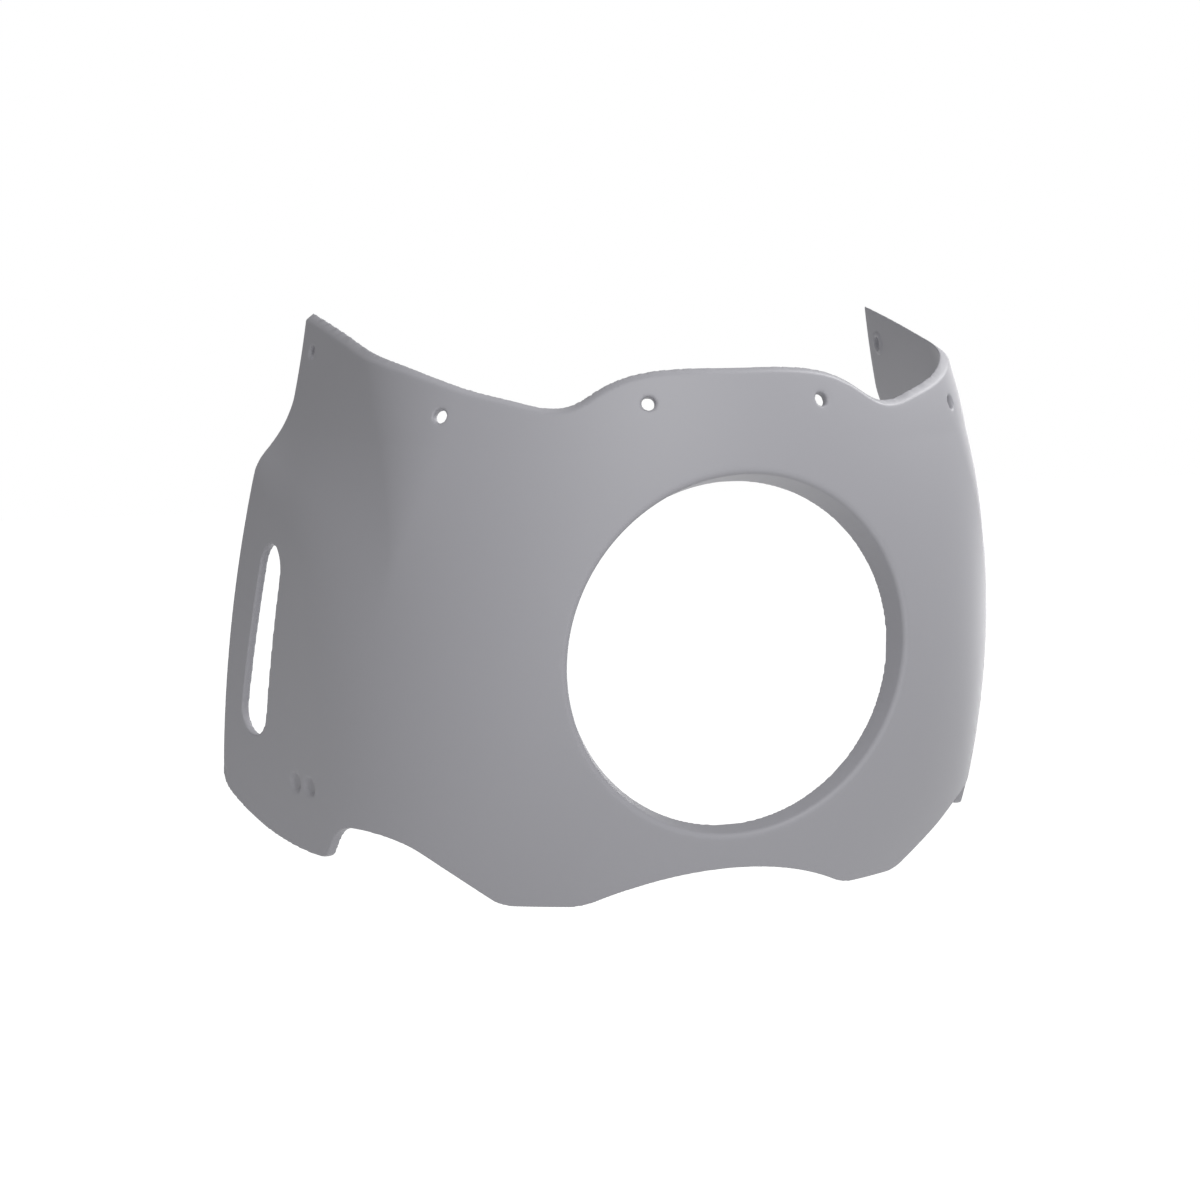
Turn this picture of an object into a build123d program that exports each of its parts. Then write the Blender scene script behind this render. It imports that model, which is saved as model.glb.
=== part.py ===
from build123d import *
import os
from math import asin, atan2, cos, hypot, radians, sin, sqrt, tan

# Headlight cowl for a motorcycle, moulded in one piece.
# Millimetres. The front faces -Y, +Z is up, and the cowl is the same on both sides of X = 0.
# The origin is the centre of the lamp opening, on its rear rim.

# Wall and overall depth
wall = 4.0
cowl_depth = 179.0           # rear edges of the side panels, behind the lamp rim

# Lamp opening, with its inward flange
lamp_radius = 82.5           # at the rear rim
lamp_draft = 15.0            # degrees, the opening widens towards the front
lamp_edge_radius = 3.8
lamp_flange_wall = 4.0

# Front panel: an arc in plan that leans back above and below its foremost height
front_reach = 29.6           # foremost point, ahead of the lamp rim
front_height = 18.2
front_upright_radius = 284.0
front_plan_radius = 248.6
front_plan_tightening = 0.00205
brow_top = 136.0

# Cheeks, the lower sides: half width at the rear edge, flare in plan and corner radius
cheek_half_width = 201.1
cheek_lean = 0.1243
cheek_bow = 0.00067
cheek_flare = 0.216
cheek_flare_change = 0.00143
cheek_corner_radius = 154.0
cheek_corner_change = 0.16
cheek_top = 100.0

# Wings, the upper sides, inset from the cheeks behind a sharper corner
wing_height = 119.6
wing_half_width = 165.2
wing_lean = 0.204
wing_bow = 0.00095
wing_flare = 0.199
wing_flare_change = 0.00075
wing_corner_radius = 10.0
wing_corner_height = 50.0
wing_corner_change = 0.8

# Shoulder between wing and cheek, an ogee that spreads out towards the front
shoulder_top = 115.2
shoulder_bottom = 76.3
shoulder_rise = 0.56
shoulder_fall = 0.565
shoulder_knee = 0.7

# Top rim: heights of its inner edge at angles round the rear middle, in degrees
rim_line = [(0, 136.2), (9, 136.0), (13.5, 134.6), (17.2, 131.6), (20.9, 125.8),
            (24, 120.0), (27, 118.6), (31.4, 121.2), (37, 125.2), (43.8, 131.2),
            (50, 136.3), (59.3, 141.9), (67.5, 146.8), (78, 152.2), (91, 157.8)]
rim_bevel = 45.0             # degrees between the bevelled rim and the skin
rim_stations = 64            # steps along the rim when its bevel is drawn

# Bottom edge seen from the front: a centre arch between two feet, then the side arches
arch_height = -103.5
arch_radius = 140.0
foot_height = -121.3
foot_outer = 104.2
foot_round = 18.0
foot_inner_round = 28.0
side_arch_height = -87.0
side_arch_x = 151.7
side_arch_round = 44.0

# Bottom edge seen from the side: the notch behind the side arch, the hook and the heel
side_start = 64.5            # where the side view takes over from the front view
notch_y = 79.5
notch_round = 18.0
hook_y = 93.0
hook_height = -106.0
hook_round = 7.0
heel_radius = 152.0
heel_start = 97.5
rear_corner_round = 13.0

# Slots in the cheeks, in the plane of the panel
slot_length = 98.6
slot_width = 25.5
slot_y = 143.6
slot_z = -4.2
slot_tilt = 9.1

# Six screw holes for a windscreen, each with a shallow round seat outside and a low boss inside
screw_hole = 6.5
seat_diameter = 16.0
seat_depth = 0.4
boss_diameter = 12.0
boss_height = 0.8
inner_screw = (43.8, 120.8)      # x and z
outer_screw = (132.4, 114.4)     # x and z
wing_screw = (164.3, 138.0)      # y and z

# Two blind locating dimples below each slot
dimple_diameter = 9.0
dimple_depth = 2.0
dimple_spacing = 12.5
dimple_y = 105.0
dimple_z = -71.0

# Extent of the skin before it is trimmed
skin_bottom = -127.0
skin_top = 172.0
skin_end_angle = 98.0
skin_rows = 40
plan_angles = [0, 9, 18, 27, 34, 38, 41, 43.5, 46, 48.5, 51, 54, 58, 63, 69, 76, 83, 90, skin_end_angle]


def front_y(z):
    """Front of the skin in the middle plane."""
    return -front_reach + (z - front_height) ** 2 / (2 * front_upright_radius)


def ray_to_arc(angle, x, y, radius):
    """Distance from the rear middle to an arc centred at x, y, along a ray at this angle."""
    away_x, away_y = -x, cowl_depth - y
    along = away_x * sin(angle) - away_y * cos(angle)
    return -along + sqrt(along ** 2 - away_x ** 2 - away_y ** 2 + radius ** 2)


def plan_reach(angle, z, half_width, flare, corner_radius):
    """Plan outline at height z: front arc, rounded corner and straight flared side."""
    level = min(z, brow_top)
    front_radius = front_plan_radius - front_plan_tightening * level ** 2
    centre_y = front_y(z) + front_radius
    spread = hypot(1, flare)
    # The corner's centre is one corner radius inside both the side and the front arc
    base_x = half_width - corner_radius / spread
    base_y = cowl_depth + corner_radius * flare / spread
    run_x, run_y = flare / spread, 1 / spread
    gap_y = base_y - centre_y
    along = base_x * run_x + gap_y * run_y
    slack = base_x ** 2 + gap_y ** 2 - (front_radius - corner_radius) ** 2
    step = -along - sqrt(along ** 2 - slack)
    corner_x, corner_y = base_x + step * run_x, base_y + step * run_y
    side_x, side_y = corner_x + corner_radius / spread, corner_y - corner_radius * flare / spread
    lift = front_radius / hypot(corner_x, corner_y - centre_y)
    arc_x, arc_y = corner_x * lift, centre_y + (corner_y - centre_y) * lift
    if angle <= atan2(arc_x, cowl_depth - arc_y):
        return ray_to_arc(angle, 0, centre_y, front_radius)
    if angle <= atan2(side_x, cowl_depth - side_y):
        return ray_to_arc(angle, corner_x, corner_y, corner_radius)
    return half_width / (sin(angle) + flare * cos(angle))


def cheek_reach(angle, z):
    level = min(z, cheek_top)
    half_width = cheek_half_width - cheek_lean * level - cheek_bow * level ** 2
    flare = cheek_flare - cheek_flare_change * level
    corner = cheek_corner_radius + cheek_corner_change * level
    return plan_reach(angle, z, half_width, flare, corner)


def wing_reach(angle, z):
    up = z - wing_height
    half_width = wing_half_width - wing_lean * up + wing_bow * up ** 2
    flare = wing_flare - wing_flare_change * z
    corner = wing_corner_radius + wing_corner_change * max(z - wing_corner_height, 0)
    return plan_reach(angle, z, half_width, flare, corner)


def shoulder_share(y, z):
    """0 above the shoulder, 1 below it, an ogee between."""
    ahead = cowl_depth - y
    top = shoulder_top + shoulder_rise * ahead
    bottom = shoulder_bottom - shoulder_fall * ahead
    down = min(max((top - z) / (top - bottom), 0), 1)
    if down < shoulder_knee:
        return down ** 2 / shoulder_knee
    return 1 - (1 - down) ** 2 / (1 - shoulder_knee)


def outer_point(angle, z):
    """Point of the outer skin at an angle round the rear middle, right side positive."""
    turn = abs(angle)
    reach = cheek_reach(turn, z)
    share = shoulder_share(cowl_depth - reach * cos(turn), z)
    if share < 1:
        reach = reach * share + wing_reach(turn, z) * (1 - share)
    return Vector(reach * sin(angle), cowl_depth - reach * cos(angle), z)


def outer_normal(angle, z):
    """Outward direction of the skin."""
    small = 0.002
    around = outer_point(angle + small, z) - outer_point(angle - small, z)
    upward = outer_point(angle, z + 1) - outer_point(angle, z - 1)
    return around.cross(upward).normalized()


def skin_point(angle, z, inset):
    """Point at height z on the skin moved inwards by inset."""
    point, normal = outer_point(angle, z), outer_normal(angle, z)
    level = Vector(normal.X, normal.Y, 0)
    return point - level * (inset / level.length ** 2)


def angle_at(axis, value, z):
    """Angle round the rear middle at which the outer skin reaches a given x or y."""
    low, high = 0, radians(skin_end_angle)
    for _ in range(40):
        middle = (low + high) / 2
        point = outer_point(middle, z)
        if (point.X if axis == "x" else point.Y) < value:
            low = middle
        else:
            high = middle
    return middle


def skin_plane(angle, z):
    """Plane on the outer skin with its Z outwards and its Y upwards along the skin."""
    normal = outer_normal(angle, z)
    across = Vector(0, 0, 1).cross(normal)
    return Plane(outer_point(angle, z), x_dir=across, z_dir=normal)


def section(z, inset, back):
    """Closed plan outline of the skin at height z."""
    angles = [-a for a in reversed(plan_angles[1:])] + plan_angles
    front = Edge.make_spline([skin_point(radians(a), z, inset) for a in angles])
    left, right = front @ 0, front @ 1
    corners = [right, Vector(right.X, back, z), Vector(left.X, back, z), left]
    sides = [Edge.make_line(a, b) for a, b in zip(corners, corners[1:])]
    return Wire([front] + sides)


def skin_body(inset, margin, back):
    """Solid of everything behind the skin, lofted through plan outlines."""
    low, high = skin_bottom - margin, skin_top + margin
    heights = [low + (high - low) * i / skin_rows for i in range(skin_rows + 1)]
    return Solid.make_loft([section(z, inset, back) for z in heights])


def lamp_cone(extra_radius, behind):
    """Solid along the lamp axis that widens to the front by the draft."""
    slope = tan(radians(lamp_draft))
    ahead = 2 * front_reach
    small = lamp_radius + extra_radius - behind * slope
    large = lamp_radius + extra_radius + ahead * slope
    cone = Cone(small, large, ahead + behind, align=(Align.CENTER, Align.CENTER, Align.MIN))
    return Pos(0, behind, 0) * Rot(90, 0, 0) * cone


def shell():
    """The skin's wall, with the flange that turns in round the lamp opening."""
    outer = skin_body(0, 0, 2 * cowl_depth)
    inner = skin_body(wall, 4, 2.2 * cowl_depth)
    cavity = inner - lamp_cone(lamp_flange_wall, 0)
    behind = Pos(0, cowl_depth, 0) * Box(4 * cowl_depth, 4 * cowl_depth, 4 * cowl_depth,
                                         align=(Align.CENTER, Align.MIN, Align.CENTER))
    body = outer - cavity - behind - lamp_cone(0, 5)
    round_edges = body.faces().filter_by(GeomType.CONE).edges()
    front_edge = min([e for e in round_edges if e.length > 5 * lamp_radius], key=lambda e: e.center().Y)
    return fillet(front_edge, lamp_edge_radius)


def rim_cutter():
    """Everything above the top rim, bounded by its slanted bevel."""
    half = [Vector(angle, height, 0) for angle, height in rim_line]
    line = Edge.make_spline([Vector(-p.X, p.Y, 0) for p in reversed(half[1:])] + half)
    slope = radians(rim_bevel)
    inner_line, outer_line = [], []
    for i in range(rim_stations + 1):
        share = i / rim_stations
        here, run = line @ share, (line % share) * 0.5
        before, point, after = [skin_point(radians(p.X), p.Y, wall) for p in (here - run, here, here + run)]
        normal = outer_normal(radians(here.X), here.Y)
        up = normal.cross(after - before).normalized()
        outward = normal * sin(slope) - up * cos(slope)
        inner_line.append(point - outward * wall)
        outer_line.append(point + outward * 3 * wall)
    face = Face.make_surface_from_curves(Edge.make_spline(inner_line), Edge.make_spline(outer_line))
    return Solid.extrude(face, Vector(0, 0, 2 * wall + skin_top))


def front_cutter():
    """Everything below the bottom edge as the front view draws it."""
    foot_inner = sqrt(arch_radius ** 2 - (arch_radius + foot_height - arch_height) ** 2)
    deep = skin_bottom - 20
    end_x = side_arch_x + side_arch_round / 2
    half = [(foot_inner, foot_height), (foot_outer, foot_height), (side_arch_x, side_arch_height),
            (end_x, side_arch_height), (end_x, deep)]
    points = half + [(-x, z) for x, z in reversed(half)]
    with BuildSketch(Plane.XZ.offset(-side_start)) as outline:
        with BuildLine():
            Polyline(points)
            ThreePointArc(points[-1], (0, arch_height), points[0])
        make_face()
        for x, radius in [(foot_inner, foot_inner_round), (foot_outer, foot_round),
                          (side_arch_x, side_arch_round)]:
            fillet([v for v in outline.vertices() if abs(abs(v.X) - x) < 0.5], radius)
    return extrude(outline.sketch, 2 * cowl_depth)


def side_cutter():
    """Everything below the bottom edge as the side view draws it, behind the side arches."""
    drop = heel_radius - sqrt(heel_radius ** 2 - (cowl_depth - heel_start) ** 2)
    swing = asin((cowl_depth - heel_start) / heel_radius) / 2
    middle = (heel_start + heel_radius * sin(swing), hook_height + heel_radius * (1 - cos(swing)))
    corner = (cowl_depth, hook_height + drop)
    deep = skin_bottom - 20
    rear = cowl_depth + 20
    with BuildSketch(Plane.YZ) as outline:
        with BuildLine():
            Polyline((heel_start, hook_height), (hook_y, hook_height), (notch_y, side_arch_height),
                     (side_start, side_arch_height), (side_start, deep), (rear, deep), (rear, 0),
                     (cowl_depth, 0), corner)
            ThreePointArc(corner, middle, (heel_start, hook_height))
        make_face()
        rounds = [((notch_y, side_arch_height), notch_round), ((hook_y, hook_height), hook_round),
                  (corner, rear_corner_round)]
        for (y, z), radius in rounds:
            fillet(min(outline.vertices(), key=lambda v: hypot(v.X - y, v.Y - z)), radius)
    return extrude(outline.sketch, 2 * cowl_depth, both=True)


def slot_cutter():
    """Right side slot, cut square to the panel."""
    plane = skin_plane(angle_at("y", slot_y, slot_z), slot_z)
    slot = plane * Rot(0, 0, 90 + slot_tilt) * SlotOverall(slot_length, slot_width)
    return extrude(slot, 4 * wall, both=True)


def screw_planes():
    """Planes of the three screw holes on the right."""
    inner_x, inner_z = inner_screw
    outer_x, outer_z = outer_screw
    wing_y, wing_z = wing_screw
    return [skin_plane(angle_at("x", inner_x, inner_z), inner_z),
            skin_plane(angle_at("x", outer_x, outer_z), outer_z),
            skin_plane(angle_at("y", wing_y, wing_z), wing_z)]


def screw_cutter(plane):
    """Hole with its shallow seat, square to the skin."""
    hole = plane * Cylinder(screw_hole / 2, 6 * wall)
    seat = plane * Cylinder(seat_diameter / 2, 2 * wall, align=(Align.CENTER, Align.CENTER, Align.MIN))
    return hole + seat.moved(Location(plane.z_dir * -seat_depth))


def screw_boss(plane):
    """Low round boss on the inner side, sunk into the wall."""
    boss = plane * Cylinder(boss_diameter / 2, wall / 2 + boss_height,
                            align=(Align.CENTER, Align.CENTER, Align.MAX))
    return boss.moved(Location(plane.z_dir * (-wall / 2)))


def dimple_cutter(y):
    plane = skin_plane(angle_at("y", y, dimple_z), dimple_z)
    return plane * Cylinder(dimple_diameter / 2, 2 * dimple_depth)


def side_features():
    """Cutters of the right side: slot, screw holes and dimples."""
    cutters = [slot_cutter()]
    cutters += [screw_cutter(plane) for plane in screw_planes()]
    cutters += [dimple_cutter(dimple_y + side * dimple_spacing / 2) for side in (-1, 1)]
    return cutters


def both_sides(shapes):
    return shapes + [mirror(shape, about=Plane.YZ) for shape in shapes]


def largest(body):
    return max(body.solids(), key=lambda solid: solid.volume)


def cowl():
    """The whole cowl as one solid."""
    body = shell() + both_sides([screw_boss(plane) for plane in screw_planes()])
    return largest(body - [rim_cutter(), front_cutter(), side_cutter()] - both_sides(side_features()))


if __name__ == "__main__":
    os.makedirs("parts", exist_ok=True)
    cowl_shell = cowl()
    export_step(cowl_shell, "parts/cowl_shell.step")
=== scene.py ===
from math import cos, pi, radians, sin, tan

import bmesh
import bpy
import numpy as np
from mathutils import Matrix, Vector


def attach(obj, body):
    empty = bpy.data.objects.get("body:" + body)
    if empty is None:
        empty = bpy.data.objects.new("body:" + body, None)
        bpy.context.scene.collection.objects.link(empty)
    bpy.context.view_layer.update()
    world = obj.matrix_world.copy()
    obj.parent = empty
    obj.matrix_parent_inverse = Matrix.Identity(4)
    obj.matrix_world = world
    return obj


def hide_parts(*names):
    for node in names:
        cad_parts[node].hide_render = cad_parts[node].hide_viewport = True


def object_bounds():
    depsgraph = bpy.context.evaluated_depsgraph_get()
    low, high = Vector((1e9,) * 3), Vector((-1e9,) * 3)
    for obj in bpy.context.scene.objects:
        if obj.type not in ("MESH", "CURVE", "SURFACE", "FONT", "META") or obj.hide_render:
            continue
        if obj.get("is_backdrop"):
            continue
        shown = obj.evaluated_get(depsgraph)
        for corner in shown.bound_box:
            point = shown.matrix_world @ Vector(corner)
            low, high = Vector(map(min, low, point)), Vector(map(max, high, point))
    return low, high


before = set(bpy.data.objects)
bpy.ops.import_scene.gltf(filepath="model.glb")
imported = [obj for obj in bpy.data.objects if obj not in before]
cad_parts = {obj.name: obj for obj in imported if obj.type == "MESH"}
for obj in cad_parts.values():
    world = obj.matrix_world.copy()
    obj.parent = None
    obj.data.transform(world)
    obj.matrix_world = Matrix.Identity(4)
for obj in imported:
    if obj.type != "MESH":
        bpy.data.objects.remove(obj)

bl_info = {
    "name": "Headlight cowl",
    "version": (1, 0, 0),
    "blender": (4, 5, 0),
    "location": "3D View > Sidebar > Cowl",
    "description": "Dresses a moulded motorcycle headlight cowl and sets up its studio",
    "category": "Object",
}

# The scene is in metres. The front faces -Y, and the origin is the centre of the lamp opening
SHELL_NODE = "cowl_shell"
MILLIMETRE = 0.001


class CowlShellSettings(bpy.types.PropertyGroup):
    """Mesh and finish of the moulded shell."""

    voxel: bpy.props.FloatProperty(
        name="Voxel", description="Cell size that rounds the moulded edges", default=0.0007, unit="LENGTH")
    weld: bpy.props.FloatProperty(
        name="Weld", description="Corners nearer than this are joined", default=0.00001, unit="LENGTH")
    passes: bpy.props.IntProperty(
        name="Rounding passes", description="How often the edges are softened", default=3)
    triangles: bpy.props.IntProperty(
        name="Triangles", description="Triangles of the finished shell", default=186000)
    colour: bpy.props.FloatVectorProperty(
        name="Colour", description="Grey of the moulded plastic", default=(0.333, 0.331, 0.357),
        size=3, subtype="COLOR")
    roughness: bpy.props.FloatProperty(
        name="Roughness", description="How dull the satin surface is", default=0.5, subtype="FACTOR")
    refraction: bpy.props.FloatProperty(
        name="Refraction", description="Index of refraction of the plastic", default=1.46)
    drift_scale: bpy.props.FloatProperty(
        name="Drift scale", description="Patches of slightly other tone in a metre", default=9.0)
    tone_drift: bpy.props.FloatProperty(
        name="Tone drift", description="Share by which the patches differ in tone", default=0.03)
    dull_drift: bpy.props.FloatProperty(
        name="Dull drift", description="How much the patches differ in roughness", default=0.06)
    grain_scale: bpy.props.FloatProperty(
        name="Grain scale", description="Grains of the moulded surface in a metre", default=2600.0)
    grain_depth: bpy.props.FloatProperty(
        name="Grain depth", description="Depth of the grain", default=0.00005, unit="LENGTH")
    grain_strength: bpy.props.FloatProperty(
        name="Grain strength", description="How much of the grain shows", default=0.08)


class StudioSettings(bpy.types.PropertyGroup):
    """Floor, lamps and camera."""

    turn: bpy.props.FloatProperty(
        name="Turn", description="Direction of the camera round the cowl", default=radians(-20.1),
        subtype="ANGLE")
    tilt: bpy.props.FloatProperty(
        name="Tilt", description="Height angle of the camera", default=radians(8.33), subtype="ANGLE")
    distance: bpy.props.FloatProperty(
        name="Distance", description="Camera to the point it looks at", default=1.2441, unit="LENGTH")
    aim_across: bpy.props.FloatProperty(
        name="Aim across", description="Point looked at, right of the lamp opening in the picture",
        default=-0.0613, unit="LENGTH")
    aim_up: bpy.props.FloatProperty(
        name="Aim up", description="Point looked at, above the lamp opening in the picture",
        default=0.0258, unit="LENGTH")
    view_angle: bpy.props.FloatProperty(
        name="View angle", description="Width of the camera's view", default=radians(25.8),
        subtype="ANGLE")
    floor_drop: bpy.props.FloatProperty(
        name="Floor drop", description="Floor below the cowl's lowest point", default=0.6, unit="LENGTH")
    floor_size: bpy.props.FloatProperty(
        name="Floor size", description="Side of the square floor", default=14.0, unit="LENGTH")
    floor_grey: bpy.props.FloatProperty(
        name="Floor grey", description="Share of the light that the floor sends back", default=0.5)
    floor_fill: bpy.props.FloatProperty(
        name="Floor fill", description="Light that the floor adds to the cowl", default=0.16)
    floor_glow: bpy.props.FloatProperty(
        name="Floor glow", description="Light added where the floor is seen or mirrored", default=0.88)
    surround: bpy.props.FloatProperty(
        name="Surround", description="Strength of the even light from all round", default=0.405)
    lamp_distance: bpy.props.FloatProperty(
        name="Lamp distance", description="Lamps to the point they light", default=1.6, unit="LENGTH")
    lamp_size: bpy.props.FloatProperty(
        name="Lamp size", description="Width of each round lamp", default=0.9, unit="LENGTH")
    lamp_aim: bpy.props.FloatProperty(
        name="Lamp aim", description="Point they light, behind the lamp opening", default=0.07,
        unit="LENGTH")


# Millimetres from here to the surface functions: the sizes behind the solid's own surfaces
DEPTH = 179.0
WALL = 4.0

# How often a nearest place is worked out again from the last guess
ROUNDS = 4


class FrontPanel:
    """Arc in plan that leans back above and below its foremost height."""

    reach = 29.6
    height = 18.2
    upright_radius = 284.0
    plan_radius = 248.6
    tightening = 0.00205
    top = 136.0


class Cheek:
    """Full lower side: half width, flare and corner, each changing with the height."""

    half_width = 201.1
    lean = 0.1243
    bow = 0.00067
    flare = 0.216
    flare_change = 0.00143
    corner_radius = 154.0
    corner_change = 0.16
    top = 100.0


class Wing:
    """Tighter upper side, with its sizes given at one height."""

    height = 119.6
    half_width = 165.2
    lean = 0.204
    bow = 0.00095
    flare = 0.199
    flare_change = 0.00075
    corner_radius = 10.0
    corner_height = 50.0
    corner_change = 0.8


class Shoulder:
    """Where the cheek turns into the wing: heights at the rear, and how they change towards the front."""

    top = 115.2
    bottom = 76.3
    rise = 0.56
    fall = 0.565
    knee = 0.7


class Lamp:
    """Opening for the lamp. Its front edge is rounded less than the solid's, within a zone round it."""

    radius = 82.5
    draft = 15.0
    flange_wall = 4.0
    rear = 5.0
    edge_radius = 2.8
    zone = 6.0


class Dimple:
    """The two dimples below each slot, and how far round them and how deep the skin is softened."""

    y = 105.0
    z = -71.0
    spacing = 12.5
    zone = 9.5
    fade = 2.0
    deepest = 3.0
    passes = 12


class Rim:
    """Inner edge of the top rim, as heights at degrees round the rear middle, and its bevel."""

    heights = [(0, 136.2), (9, 136.0), (13.5, 134.6), (17.2, 131.6), (20.9, 125.8),
               (24, 120.0), (27, 118.6), (31.4, 121.2), (37, 125.2), (43.8, 131.2),
               (50, 136.3), (59.3, 141.9), (67.5, 146.8), (78, 152.2), (91, 157.8)]
    bevel = 45.0
    start = -5.0
    stations = 800


class Pull:
    """A point nearer to a surface than reach less fade lands on it, and one beyond reach stays."""

    reach = 0.6
    fade = 0.5


class Edge:
    """Rounding of the top and rear edges, and how near to them and how often it is worked out."""

    radius = 0.7
    zone = 2.0
    rounds = 3


def root(value):
    return np.sqrt(np.maximum(value, 0))


def unit(vectors):
    return vectors / np.linalg.norm(vectors, axis=-1, keepdims=True)


def rays(angle):
    """Level directions away from the rear middle at these angles, and square to them."""
    flat = np.zeros_like(angle)
    return (np.stack([np.sin(angle), -np.cos(angle), flat], -1),
            np.stack([np.cos(angle), np.sin(angle), flat], -1))


def polar(points):
    """Angle of points round the rear middle, and their level distance from it."""
    x, away_y = points[:, 0], DEPTH - points[:, 1]
    return np.arctan2(x, away_y), np.hypot(x, away_y)


def ray_to_arc(angle, x, y, radius):
    """Distance from the rear middle to an arc centred at x, y, along a ray at this angle."""
    away_y = DEPTH - y
    along = -x * np.sin(angle) - away_y * np.cos(angle)
    return -along + root(along ** 2 - x ** 2 - away_y ** 2 + radius ** 2)


def plan_reach(angle, z, half_width, flare, corner_radius):
    """Distance from the rear middle to the front arc, the rounded corner or the flared side."""
    front = FrontPanel
    radius = front.plan_radius - front.tightening * np.minimum(z, front.top) ** 2
    centre = radius - front.reach + (z - front.height) ** 2 / (2 * front.upright_radius)
    spread = np.hypot(1, flare)
    base_x = half_width - corner_radius / spread
    base_y = DEPTH + corner_radius * flare / spread
    gap = base_y - centre
    along = (base_x * flare + gap) / spread
    step = -along - root(along ** 2 - base_x ** 2 - gap ** 2 + (radius - corner_radius) ** 2)
    corner_x = base_x + step * flare / spread
    corner_y = base_y + step / spread
    side_x = corner_x + corner_radius / spread
    side_y = corner_y - corner_radius * flare / spread
    lift = radius / np.hypot(corner_x, corner_y - centre)
    first = np.arctan2(corner_x * lift, DEPTH - centre - (corner_y - centre) * lift)
    second = np.arctan2(side_x, DEPTH - side_y)
    corner = ray_to_arc(angle, corner_x, corner_y, corner_radius)
    side = half_width / (np.sin(angle) + flare * np.cos(angle))
    front_arc = ray_to_arc(angle, 0, centre, radius)
    return np.where(angle <= first, front_arc, np.where(angle <= second, corner, side))


def outer_reach(angle, z):
    """Distance from the rear middle to the outer skin at an angle and a height."""
    level = np.minimum(z, Cheek.top)
    cheek = plan_reach(angle, z, Cheek.half_width - Cheek.lean * level - Cheek.bow * level ** 2,
                       Cheek.flare - Cheek.flare_change * level,
                       Cheek.corner_radius + Cheek.corner_change * level)
    up = z - Wing.height
    corner = Wing.corner_radius + Wing.corner_change * np.maximum(z - Wing.corner_height, 0)
    wing = plan_reach(angle, z, Wing.half_width - Wing.lean * up + Wing.bow * up ** 2,
                      Wing.flare - Wing.flare_change * z, corner)
    ahead = cheek * np.cos(angle)
    top = Shoulder.top + Shoulder.rise * ahead
    bottom = Shoulder.bottom - Shoulder.fall * ahead
    down = np.clip((top - z) / (top - bottom), 0, 1)
    share = np.where(down < Shoulder.knee, down ** 2 / Shoulder.knee,
                     1 - (1 - down) ** 2 / (1 - Shoulder.knee))
    return cheek * share + wing * (1 - share)


def slopes(angle, z):
    """Reach of the outer skin, and how it changes with the angle and the height."""
    turn, rise = 0.002, 1.0
    here = outer_reach(angle, z)
    around = (outer_reach(angle + turn, z) - outer_reach(np.maximum(angle - turn, 0), z)) / (2 * turn)
    upward = (outer_reach(angle, z + rise) - outer_reach(angle, z - rise)) / (2 * rise)
    return here, around / here, upward


def inner_reach(angle, z):
    """Distance from the rear middle to the skin's inner side, one wall inside the outer skin."""
    start = angle
    for _ in range(ROUNDS):
        here, around, upward = slopes(start, z)
        level = 1 + around ** 2
        inset = WALL * np.sqrt(level + upward ** 2) / level
        along = here - inset
        across = inset * around
        start = angle - np.arctan2(across, along)
    return np.hypot(along, across)


def smooth_line(points, at):
    """Natural cubic curve through the points, read at some places along its first axis."""
    x, y = np.array(points, float).T
    step = np.diff(x)
    grid, bend = np.eye(len(x)), np.zeros(len(x))
    for i in range(1, len(x) - 1):
        grid[i, i - 1:i + 2] = step[i - 1], 2 * (step[i - 1] + step[i]), step[i]
        bend[i] = 6 * ((y[i + 1] - y[i]) / step[i] - (y[i] - y[i - 1]) / step[i - 1])
    curve = np.linalg.solve(grid, bend)
    k = np.clip(np.searchsorted(x, at) - 1, 0, len(x) - 2)
    past, left, span = at - x[k], x[k + 1] - at, step[k]
    cubic = (curve[k] * left ** 3 + curve[k + 1] * past ** 3) / (6 * span)
    return (cubic + (y[k] / span - curve[k] * span / 6) * left
            + (y[k + 1] / span - curve[k + 1] * span / 6) * past)


class RimBevel:
    """The slanted face of the top rim, as lines read by the length along its inner edge."""

    def __init__(self):
        degrees = np.linspace(Rim.start, Rim.heights[-1][0], Rim.stations)
        both = [(-angle, z) for angle, z in reversed(Rim.heights[1:])] + Rim.heights
        z = smooth_line(both, degrees)
        turn, side = np.radians(np.abs(degrees)), np.where(degrees < 0, -1, 1)
        here, around, upward = slopes(turn, z)
        flat = np.zeros_like(z)
        radial, across = rays(turn)
        normal = unit(radial - across * around[:, None] - np.array([0, 0, 1]) * upward[:, None])
        level = normal * (1, 1, 0)
        point = radial * here[:, None] - level * (WALL / (level ** 2).sum(1))[:, None]
        point += np.stack([flat, flat + DEPTH, z], -1)
        for vectors in (normal, point):
            vectors[:, 0] *= side
        along = unit(np.gradient(point, axis=0))
        slant = radians(Rim.bevel)
        outward = normal * sin(slant) - unit(np.cross(normal, along)) * cos(slant)
        self.point, self.along, self.outward = point, along, outward
        self.normal = unit(np.cross(outward, along))
        self.length = np.append(0, np.cumsum(np.linalg.norm(np.diff(point, axis=0), axis=1)))

    def read(self, table, place):
        return np.stack([np.interp(place, self.length, column) for column in table.T], -1)

    def face(self, points):
        """How far points of the right half stand out of the bevel, and its outward direction there."""
        place = np.interp(polar(points)[0], polar(self.point)[0], self.length)
        for _ in range(ROUNDS):
            away = points - self.read(self.point, place)
            place = place + (away * unit(self.read(self.along, place))).sum(1)
        away = points - self.read(self.point, place)
        normal = unit(self.read(self.normal, place))
        return (away * normal).sum(1), normal


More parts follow.
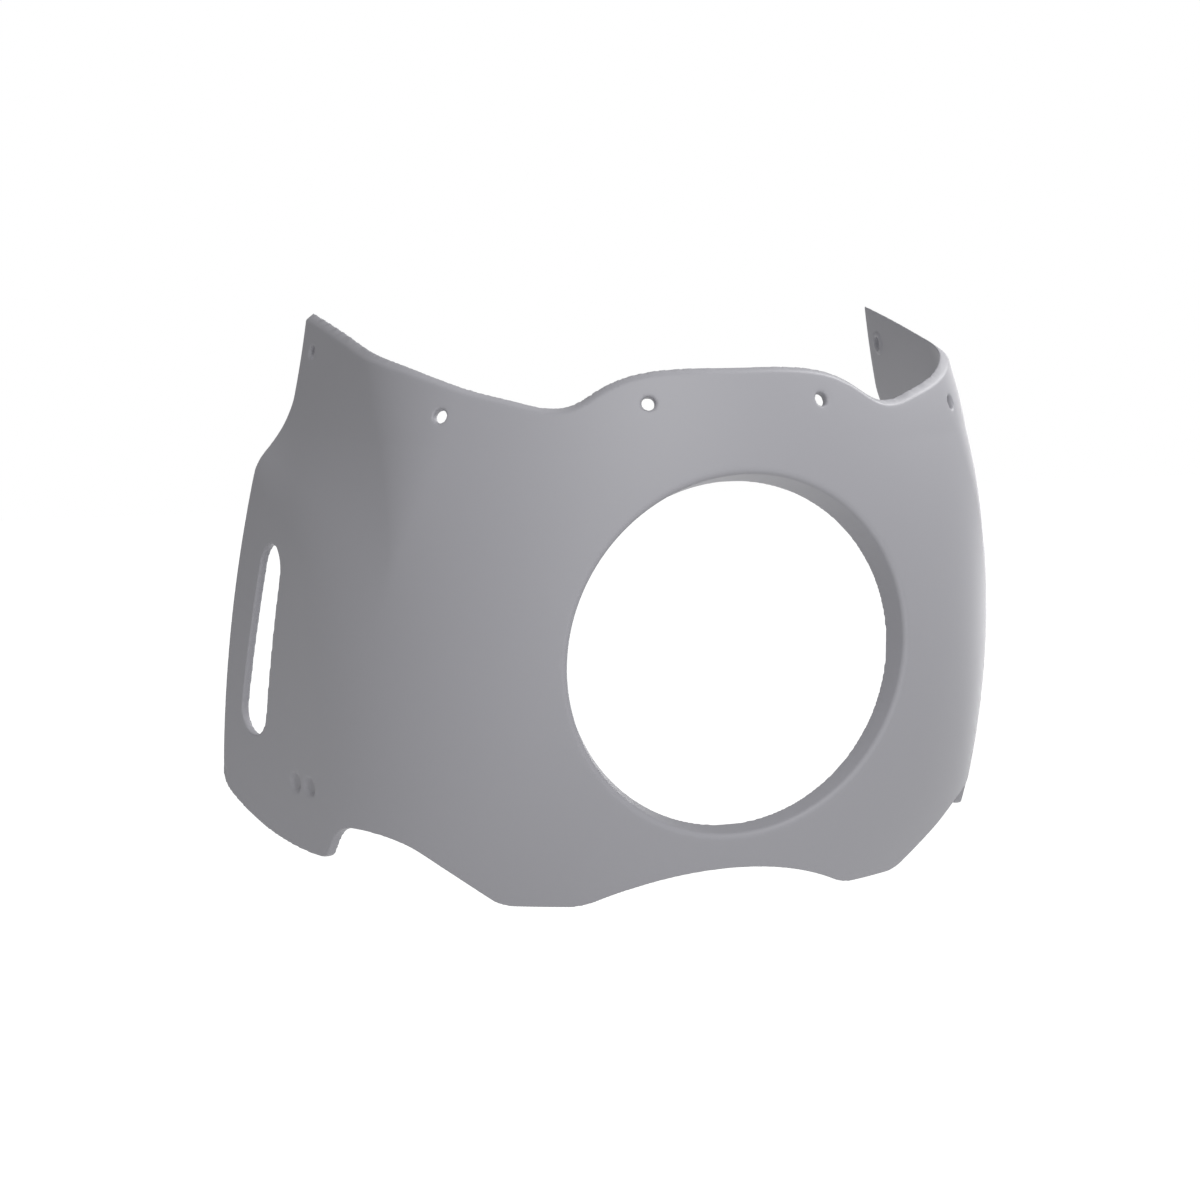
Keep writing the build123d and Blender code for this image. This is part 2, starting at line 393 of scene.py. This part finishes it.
def skin_faces(points):
    """How far points stand out of the outer and the inner skin, each with its outward direction."""
    angle, reach = polar(points)
    here, around, upward = slopes(angle, points[:, 2])
    radial, across = rays(angle)
    normal = radial - across * around[:, None] - np.array([0, 0, 1]) * upward[:, None]
    steep = np.linalg.norm(normal, axis=1)
    normal = normal / steep[:, None]
    return [((reach - here) / steep, normal),
            ((inner_reach(angle, points[:, 2]) - reach) / steep, -normal)]


def cone_face(points):
    """How far points stand in the lamp opening's cone, and the direction away from its wall."""
    x, y, z = points.T
    radius, draft = np.hypot(x, z), radians(Lamp.draft)
    off = (Lamp.radius - y * tan(draft) - radius) * cos(draft)
    flat = np.full_like(y, -sin(draft))
    return off, np.stack([-x / radius * cos(draft), flat, -z / radius * cos(draft)], -1)


def rounded(points, near, faces_of, radius):
    """Chosen points moved onto some faces and the round edges between them."""
    for _ in range(Edge.rounds):
        faces = faces_of(points[near])
        high = [np.maximum(off + radius, 0) for off, _ in faces]
        size = np.sqrt(sum(part ** 2 for part in high))
        away = sum(part[:, None] * normal for part, (_, normal) in zip(high, faces))
        field = size - radius
        move = (size > 0) & (np.abs(field) < Edge.zone)
        points[near[move]] -= unit(away[move]) * field[move, None]
    return points


def rounded_rim(points):
    """Points of the right half near the top rim and the rear edge, on their faces and round edges."""
    bevel = RimBevel()

    def faces_of(some):
        rear = (some[:, 1] - DEPTH, np.broadcast_to((0.0, 1.0, 0.0), some.shape))
        return skin_faces(some) + [bevel.face(some), rear]

    near = (np.abs(bevel.face(points)[0]) < Edge.zone) | (points[:, 1] > DEPTH - Edge.zone)
    return rounded(points, np.flatnonzero(near), faces_of, Edge.radius)


def rounded_lamp_edge(points):
    """Points near the front edge of the lamp opening, on the skin, the cone and their round edge."""
    near = (np.abs(cone_face(points)[0]) < Lamp.zone) & (points[:, 1] < -Edge.zone)
    return rounded(points, np.flatnonzero(near), lambda some: [skin_faces(some)[0], cone_face(some)],
                   Lamp.edge_radius)


def pull(off):
    """Share of the way to a surface that a point this far off it is moved."""
    return np.clip((Pull.reach - np.abs(off)) / Pull.fade, 0, 1)


def dimple_distance(points):
    """Distance from the middle of the nearer dimple, seen from the side."""
    return np.hypot(np.abs(points[:, 1] - Dimple.y) - Dimple.spacing / 2, points[:, 2] - Dimple.z)


def pulled_to_skin(points):
    """Points near the outer or the inner skin, moved onto it along their ray from the rear middle."""
    angle, reach = polar(points)
    z = points[:, 2]
    moved = reach
    clear = np.clip((dimple_distance(points) - Dimple.zone) / Dimple.fade + 1, 0, 1)
    for surface, share in ((outer_reach(angle, z), clear), (inner_reach(angle, z), 1)):
        off = reach - surface
        moved = moved - off * pull(off) * share
    return np.stack([moved * np.sin(angle), DEPTH - moved * np.cos(angle), z], -1)


def pulled_to_flange(points):
    """Points near the lamp opening's two cones, moved onto them."""
    x, y, z = points.T
    radius = np.hypot(x, z)
    moved = radius
    for extra in (0, Lamp.flange_wall):
        off = radius - (Lamp.radius + extra - y * tan(radians(Lamp.draft)))
        moved = moved - off * pull(off) * (y < Lamp.rear)
    return np.stack([x * moved / radius, y, z * moved / radius], -1)


def read_points(mesh):
    """Positions in millimetres, with the left side turned over onto the right, and each point's side."""
    points = np.empty(len(mesh.vertices) * 3)
    mesh.vertices.foreach_get("co", points)
    points = points.reshape(-1, 3) / MILLIMETRE
    side = np.where(points[:, 0] < 0, -1, 1)
    points[:, 0] *= side
    return points, side


def write_points(mesh, points, side):
    points[:, 0] *= side
    mesh.vertices.foreach_set("co", (points * MILLIMETRE).ravel())
    mesh.update()


def soften_dimples(mesh):
    """Averages the outer points round the dimples with their neighbours, so that they are soft cups."""
    points, side = read_points(mesh)
    angle, reach = polar(points)
    near = dimple_distance(points)
    off = reach - outer_reach(angle, points[:, 2])
    chosen = np.flatnonzero((near < Dimple.zone) & (off > -Dimple.deepest))
    number = np.full(len(points), -1)
    number[chosen] = np.arange(len(chosen))
    edges = np.empty(len(mesh.edges) * 2, int)
    mesh.edges.foreach_get("vertices", edges)
    edges = number[edges.reshape(-1, 2)]
    start, end = edges[(edges >= 0).all(1)].T
    start, end = np.concatenate([start, end]), np.concatenate([end, start])
    share = np.clip((Dimple.zone - near[chosen]) / Dimple.fade, 0, 1)[:, None]
    count = np.maximum(np.bincount(start, minlength=len(chosen)), 1)[:, None]
    moved = points[chosen]
    for _ in range(Dimple.passes):
        total = np.zeros_like(moved)
        np.add.at(total, start, moved[end])
        moved = moved + share * (total / count - moved) / 2
    points[chosen] = moved
    write_points(mesh, points, side)


def set_on_surfaces(mesh):
    """Takes the small steps of the voxels out: near points land on the shell's true surfaces."""
    points, side = read_points(mesh)
    write_points(mesh, rounded_rim(rounded_lamp_edge(pulled_to_flange(pulled_to_skin(points)))), side)


class NodeSheet:
    """Adds nodes to one node tree and links them."""

    def __init__(self, tree):
        self.tree = tree
        tree.nodes.clear()

    def add(self, kind, settings=None, **sockets):
        """A node with its settings made first, then its sockets as values or links."""
        node = self.tree.nodes.new(kind)
        for name, value in (settings or {}).items():
            setattr(node, name, value)
        for name, value in sockets.items():
            self.feed(self.socket(node, name), value)
        return node

    def socket(self, node, name):
        """Input in use, by number as in_2 or by its name with underscores for spaces."""
        used = [socket for socket in node.inputs if socket.enabled]
        if name.startswith("in_"):
            return used[int(name[3:])]
        return [socket for socket in used if socket.name == name.replace("_", " ")][0]

    def feed(self, socket, value):
        if isinstance(value, Num):
            value = value.socket
        if isinstance(value, bpy.types.NodeSocket):
            self.tree.links.new(value, socket)
        else:
            socket.default_value = value


class Num:
    """A number socket that can be added and multiplied."""

    def __init__(self, sheet, socket):
        self.sheet = sheet
        self.socket = socket

    def join(self, operation, left, right):
        node = self.sheet.add("ShaderNodeMath", {"operation": operation}, in_0=left, in_1=right)
        return Num(self.sheet, node.outputs[0])

    def __add__(self, other):
        return self.join("ADD", self, other)

    def __radd__(self, other):
        return self.join("ADD", other, self)

    def __mul__(self, other):
        return self.join("MULTIPLY", self, other)

    def __rmul__(self, other):
        return self.join("MULTIPLY", other, self)


def material_sheet(name):
    material = bpy.data.materials.new(name)
    material.use_nodes = True
    return material, NodeSheet(material.node_tree)


def satin_plastic(settings):
    """Moulded grey plastic: satin, with a very fine grain and a faint drift of tone."""
    material, sheet = material_sheet("satin_grey_plastic")
    place = sheet.add("ShaderNodeTexCoord").outputs["Object"]
    noise = sheet.add("ShaderNodeTexNoise", Vector=place, Scale=settings.drift_scale, Detail=2.0)
    drift = Num(sheet, noise.outputs[0])
    grain = sheet.add("ShaderNodeTexNoise", Vector=place, Scale=settings.grain_scale, Detail=2.0)
    blend = {"data_type": "RGBA", "blend_type": "MULTIPLY"}
    tone = drift * settings.tone_drift + (1 - settings.tone_drift / 2)
    dull = drift * settings.dull_drift + (settings.roughness - settings.dull_drift / 2)
    colour = sheet.add("ShaderNodeMix", blend, Factor=1.0, A=(*settings.colour, 1.0), B=tone)
    bump = sheet.add("ShaderNodeBump", Strength=settings.grain_strength, Distance=settings.grain_depth,
                     Height=grain.outputs[0])
    surface = sheet.add("ShaderNodeBsdfPrincipled", Base_Color=colour.outputs[2], Roughness=dull,
                        IOR=settings.refraction, Normal=bump.outputs[0])
    sheet.add("ShaderNodeOutputMaterial", Surface=surface.outputs[0])
    return material


def dress(obj, material):
    obj.data.materials.clear()
    obj.data.materials.append(material)


def new_object(name, mesh):
    obj = bpy.data.objects.new(name, mesh)
    bpy.context.scene.collection.objects.link(obj)
    return obj


def bake(obj):
    """The result of the modifiers takes the place of the object's mesh, and they go."""
    evaluated = obj.evaluated_get(bpy.context.evaluated_depsgraph_get())
    mesh = bpy.data.meshes.new_from_object(evaluated)
    obj.modifiers.clear()
    obj.data = mesh


def closed_copy(node, weld):
    """Copy of a node's mesh with its loose triangles joined."""
    mesh = bpy.data.meshes.new("cowl_moulding")
    work = bmesh.new()
    work.from_mesh(node.data)
    bmesh.ops.remove_doubles(work, verts=work.verts, dist=weld)
    work.to_mesh(mesh)
    work.free()
    return mesh


def soft_edge_tree():
    """Node tree that averages each point with its neighbours, which rounds the edges."""
    tree = bpy.data.node_groups.new("soft_edges", "GeometryNodeTree")
    face = tree.interface
    for name, kind in (("Geometry", "Geometry"), ("Passes", "Int"), ("Finish", "Material")):
        face.new_socket(name, in_out="INPUT", socket_type="NodeSocket" + kind)
    face.new_socket("Geometry", in_out="OUTPUT", socket_type="NodeSocketGeometry")
    sheet = NodeSheet(tree)
    given = sheet.add("NodeGroupInput").outputs
    place = sheet.add("GeometryNodeInputPosition").outputs[0]
    blur = sheet.add("GeometryNodeBlurAttribute", {"data_type": "FLOAT_VECTOR"},
                     Value=place, Iterations=given["Passes"])
    soft = [output for output in blur.outputs if output.enabled][0]
    moved = sheet.add("GeometryNodeSetPosition", Geometry=given["Geometry"], Position=soft)
    smooth = sheet.add("GeometryNodeSetShadeSmooth", Geometry=moved.outputs[0], Shade_Smooth=True)
    real = sheet.add("GeometryNodeRealizeInstances", Geometry=smooth.outputs[0])
    dressed = sheet.add("GeometryNodeSetMaterial", Geometry=real.outputs[0], Material=given["Finish"])
    sheet.add("NodeGroupOutput", Geometry=dressed.outputs[0])
    return tree


def soften(obj, passes, finish):
    modifier = obj.modifiers.new("soft_edges", "NODES")
    modifier.node_group = soft_edge_tree()
    values = {"Passes": passes, "Finish": finish}
    for item in modifier.node_group.interface.items_tree:
        if item.in_out == "INPUT" and item.name in values:
            modifier[item.identifier] = values[item.name]


class COWL_OT_shell(bpy.types.Operator):
    """Makes the moulded shell with softly rounded edges and satin plastic"""

    bl_idname = "cowl.shell"
    bl_label = "Moulded shell"

    def execute(self, context):
        settings = context.scene.cowl_shell
        finish = satin_plastic(settings)
        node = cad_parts[SHELL_NODE]
        dress(node, finish)
        shell = new_object("cowl_moulding", closed_copy(node, settings.weld))
        cells = shell.modifiers.new("cells", "REMESH")
        cells.mode = "VOXEL"
        cells.voxel_size = settings.voxel
        cells.use_smooth_shade = True
        soften(shell, settings.passes, finish)
        bake(shell)
        soften_dimples(shell.data)
        set_on_surfaces(shell.data)
        # The faces are still squares, of two triangles each
        fewer = shell.modifiers.new("fewer", "DECIMATE")
        fewer.ratio = settings.triangles / (2 * len(shell.data.polygons))
        bake(shell)
        set_on_surfaces(shell.data)
        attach(shell, "root")
        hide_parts(SHELL_NODE)
        return {"FINISHED"}


def glow(sheet, strength):
    return sheet.add("ShaderNodeEmission", Color=(1, 1, 1, 1), Strength=strength).outputs[0]


def white_floor(settings, low):
    """Large matt floor well below the cowl, which the camera sees as white."""
    half = settings.floor_size / 2
    corners = [(-half, -half, low), (half, -half, low), (half, half, low), (-half, half, low)]
    mesh = bpy.data.meshes.new("studio_floor")
    mesh.from_pydata(corners, [], [(0, 1, 2, 3)])
    floor = new_object("studio_floor", mesh)
    material, sheet = material_sheet("floor_white")
    ray = sheet.add("ShaderNodeLightPath").outputs
    seen = Num(sheet, ray["Is Camera Ray"]) + ray["Is Glossy Ray"]
    grey = settings.floor_grey
    plain = sheet.add("ShaderNodeBsdfDiffuse", Color=(grey, grey, grey, 1)).outputs[0]
    soft, bright = [sheet.add("ShaderNodeAddShader", in_0=plain, in_1=glow(sheet, strength)).outputs[0]
                    for strength in (settings.floor_fill, settings.floor_glow)]
    both = sheet.add("ShaderNodeMixShader", in_0=seen, in_1=soft, in_2=bright).outputs[0]
    sheet.add("ShaderNodeOutputMaterial", Surface=both)
    dress(floor, material)
    floor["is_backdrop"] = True


def white_world(level):
    """Even light from all round, seen as pure white behind the cowl."""
    world = bpy.data.worlds.new("studio_world")
    bpy.context.scene.world = world
    world.use_nodes = True
    sheet = NodeSheet(world.node_tree)
    ray = sheet.add("ShaderNodeLightPath").outputs
    soft = sheet.add("ShaderNodeBackground", Color=(1, 1, 1, 1), Strength=level).outputs[0]
    white = sheet.add("ShaderNodeBackground", Color=(1, 1, 1, 1), Strength=1.0).outputs[0]
    mixed = sheet.add("ShaderNodeMixShader", in_0=ray["Is Camera Ray"], in_1=soft, in_2=white).outputs[0]
    sheet.add("ShaderNodeOutputWorld", Surface=mixed)


# Lamps: name, degrees round from the front towards +X, degrees up, and strength
LAMPS = [("key_lamp", 0, 40, 0.48), ("side_lamp", 105, 40, 0.65),
         ("front_lamp", -10, 0, 0.15), ("edge_lamp", 130, 0, 0.2)]


def soft_lamp(name, turn, up, strength, settings):
    """Wide round lamp; strength 1 shows a matt surface that faces it at its own colour."""
    light = bpy.data.lights.new(name, "AREA")
    light.shape = "DISK"
    light.size = settings.lamp_size
    light.energy = strength * (pi * settings.lamp_distance) ** 2
    lamp = bpy.data.objects.new(name, light)
    turn, up = radians(turn), radians(up)
    source = Vector((sin(turn) * cos(up), -cos(turn) * cos(up), sin(up)))
    lamp.location = source * settings.lamp_distance + Vector((0, settings.lamp_aim, 0))
    lamp.rotation_euler = source.to_track_quat("Z", "Y").to_euler()
    lamp.visible_camera = False
    bpy.context.scene.collection.objects.link(lamp)


def place_camera(settings):
    """Camera at the angle, distance and framing that the cowl is seen with."""
    camera = bpy.data.objects.new("studio_camera", bpy.data.cameras.new("studio_camera"))
    camera.data.angle = settings.view_angle
    camera.rotation_euler = (pi / 2 - settings.tilt, 0, settings.turn)
    right, up, back = camera.rotation_euler.to_matrix().transposed()
    camera.location = right * settings.aim_across + up * settings.aim_up + back * settings.distance
    bpy.context.scene.collection.objects.link(camera)
    bpy.context.scene.camera = camera


class COWL_OT_studio(bpy.types.Operator):
    """Sets the pale floor, the soft lamps and the camera"""

    bl_idname = "cowl.studio"
    bl_label = "Studio"

    def execute(self, context):
        settings = context.scene.cowl_studio
        low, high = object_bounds()
        white_floor(settings, low[2] - settings.floor_drop)
        white_world(settings.surround)
        for name, turn, up, strength in LAMPS:
            soft_lamp(name, turn, up, strength, settings)
        place_camera(settings)
        context.scene.view_settings.view_transform = "Standard"
        return {"FINISHED"}


class COWL_PT_panel(bpy.types.Panel):
    """Lists the steps of the cowl"""

    bl_label = "Headlight cowl"
    bl_idname = "COWL_PT_panel"
    bl_space_type = "VIEW_3D"
    bl_region_type = "UI"
    bl_category = "Cowl"

    def draw(self, context):
        for step in (COWL_OT_shell, COWL_OT_studio):
            self.layout.operator(step.bl_idname)


CLASSES = (CowlShellSettings, StudioSettings, COWL_OT_shell, COWL_OT_studio, COWL_PT_panel)


def register():
    for cls in CLASSES:
        bpy.utils.register_class(cls)
    bpy.types.Scene.cowl_shell = bpy.props.PointerProperty(type=CowlShellSettings)
    bpy.types.Scene.cowl_studio = bpy.props.PointerProperty(type=StudioSettings)


def unregister():
    del bpy.types.Scene.cowl_studio
    del bpy.types.Scene.cowl_shell
    for cls in reversed(CLASSES):
        bpy.utils.unregister_class(cls)


def main():
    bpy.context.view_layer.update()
    register()
    bpy.ops.cowl.shell()
    bpy.ops.cowl.studio()


if __name__ == "__main__":
    main()
